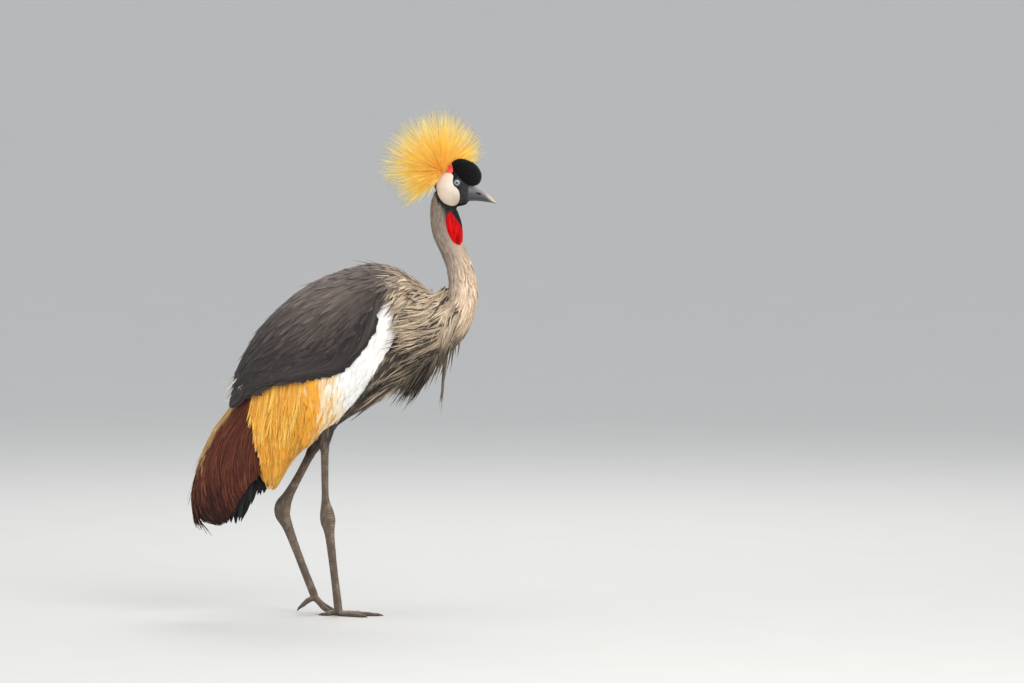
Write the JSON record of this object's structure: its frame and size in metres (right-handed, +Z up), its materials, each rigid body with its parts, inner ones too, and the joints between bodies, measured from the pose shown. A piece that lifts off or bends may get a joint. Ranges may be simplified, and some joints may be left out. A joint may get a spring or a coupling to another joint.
{
  "type": "crowned crane model",
  "caption": "Life-size still model of a grey crowned crane standing on one straight leg, the other trailing, with a fan crest and long folded wing plumes.",
  "frame": {"origin": "on the floor, under the middle of the bird's box", "axes": "+Z up, +X towards the bill, +Y to the bird's left"},
  "size_m": [0.6406, 0.251, 1.0381],
  "materials": {
    "bill_horn": "slate grey horn, satin, pale at the tip",
    "black_feather": "black feather vanes",
    "cap_velvet": "black velvet-like feathers, matt",
    "cheek_skin": "bare white skin, fine pebbled, satin",
    "claw_horn": "dark horn, satin",
    "crest_bristle": "stiff golden bristle feathers",
    "eye_glass": "pale blue-grey iris, wet and glossy",
    "gold_feather": "straw-gold loose plumes",
    "grey_feather": "slate grey feather vanes",
    "head_down": "short black down, matt",
    "leg_scale": "grey-black scaled skin, dull",
    "maroon_feather": "chestnut to maroon feather vanes",
    "neck_plume": "pale grey lanceolate plumes",
    "red_skin": "bare red skin, wrinkled, satin",
    "skin_plumage": "soft grey body down, matt",
    "white_feather": "white feather vanes"
  },
  "bodies": {
    "root": {"bill_lower": "bill_horn", "bill_upper": "bill_horn", "cap": "cap_velvet", "cheek_left": "cheek_skin", "cheek_right": "cheek_skin", "claw_left_hind": "claw_horn", "claw_left_inner": "claw_horn", "claw_left_middle": "claw_horn", "claw_left_outer": "claw_horn", "claw_right_hind": "claw_horn", "claw_right_inner": "claw_horn", "claw_right_middle": "claw_horn", "claw_right_outer": "claw_horn", "crest": "crest_bristle", "eye_left": "eye_glass", "eye_right": "eye_glass", "foot_left": "leg_scale", "foot_right": "leg_scale", "head": "head_down", "neck_lower": "neck_plume", "neck_upper": "neck_plume", "red_patch_left": "red_skin", "red_patch_right": "red_skin", "shank_left": "leg_scale", "shank_right": "leg_scale", "tail": "black_feather", "tarsus_left": "leg_scale", "tarsus_right": "leg_scale", "thigh_left": "skin_plumage", "thigh_right": "skin_plumage", "torso": "skin_plumage", "wattle": "red_skin", "wing_left_coverts": "grey_feather", "wing_left_gold": "gold_feather", "wing_left_primaries": "black_feather", "wing_left_secondaries": "maroon_feather", "wing_left_white": "white_feather", "wing_right_coverts": "grey_feather", "wing_right_gold": "gold_feather", "wing_right_primaries": "black_feather", "wing_right_secondaries": "maroon_feather", "wing_right_white": "white_feather"}
  },
  "joints": []
}
